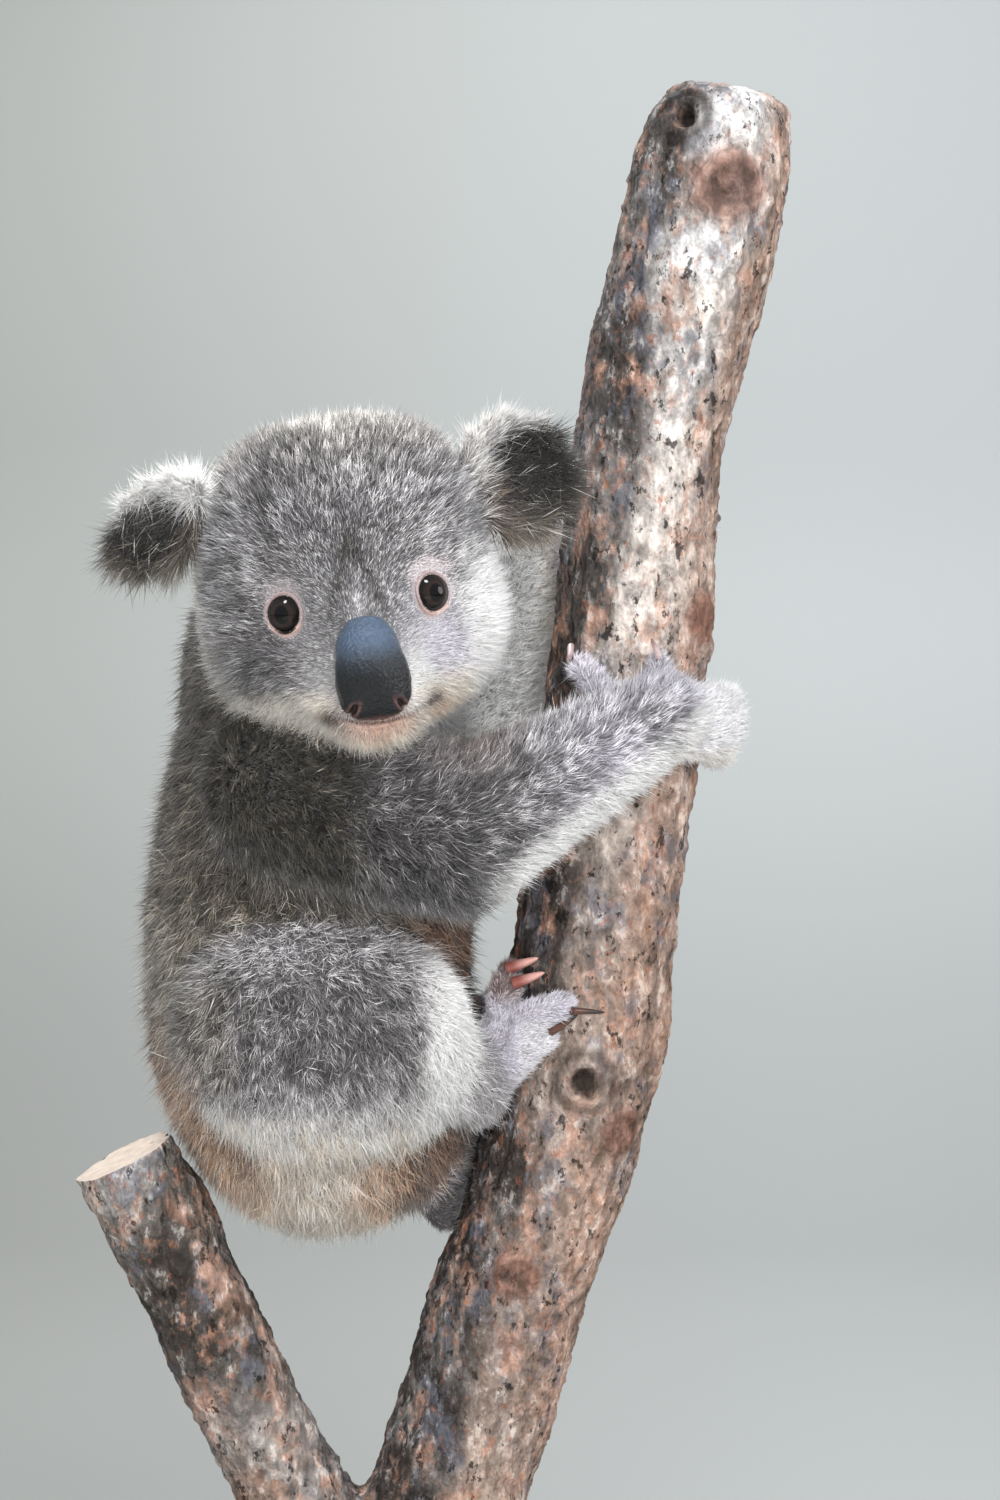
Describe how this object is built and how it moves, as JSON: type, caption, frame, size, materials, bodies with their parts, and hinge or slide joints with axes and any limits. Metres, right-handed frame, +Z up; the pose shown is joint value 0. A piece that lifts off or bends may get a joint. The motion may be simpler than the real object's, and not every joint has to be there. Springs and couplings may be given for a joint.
{
  "type": "koala",
  "caption": "Life-size still model of a young koala hugging a forked cut branch, its head turned to the side, held on a plain flat display stand.",
  "frame": {"origin": "middle of the stand base's underside, on the floor", "axes": "+Z up; +X from the koala's back towards the limb that it hugs; -Y the way that its face looks"},
  "size_m": [0.2452, 0.1788, 0.5854],
  "materials": {
    "coat": "dense soft grey fur, dark and pale hairs mixed, white on the chest, ears, inner limbs and rump; short and lilac-white on hands and feet",
    "nose": "bare granular blue-black skin with a soft sheen",
    "eyes": "wet dark brown with a black slit pupil",
    "claws": "smooth dark brown horn",
    "bark": "rough flaking grey and tan bark, paler sawn ends",
    "stand_base": "matt black paint",
    "stand_rods": "brushed"
  },
  "bodies": {
    "root": {"trunk": "coat", "neck": "coat", "head": "coat", "nose": "nose", "eye_left": "eyes", "ear_left": "coat", "upper_arm_left": "coat", "forearm_left": "coat", "thigh_left": "coat", "shin_left": "coat", "hand_left": "coat", "claw_hand_left_1": "claws", "claw_hand_left_2": "claws", "claw_hand_left_3": "claws", "claw_hand_left_4": "claws", "claw_hand_left_5": "claws", "foot_left": "coat", "claw_foot_left_1": "claws", "claw_foot_left_2": "claws", "claw_foot_left_3": "claws", "claw_foot_left_4": "claws", "eye_right": "eyes", "ear_right": "coat", "upper_arm_right": "coat", "forearm_right": "coat", "thigh_right": "coat", "shin_right": "coat", "hand_right": "coat", "claw_hand_right_1": "claws", "claw_hand_right_2": "claws", "claw_hand_right_3": "claws", "claw_hand_right_4": "claws", "claw_hand_right_5": "claws", "foot_right": "coat", "claw_foot_right_1": "claws", "claw_foot_right_2": "claws", "claw_foot_right_3": "claws", "claw_foot_right_4": "claws", "perch_limb": "bark", "perch_stub": "bark", "stand_base": "stand_base", "stand_rod_left": "stand_rods", "stand_rod_right": "stand_rods"}
  },
  "joints": []
}
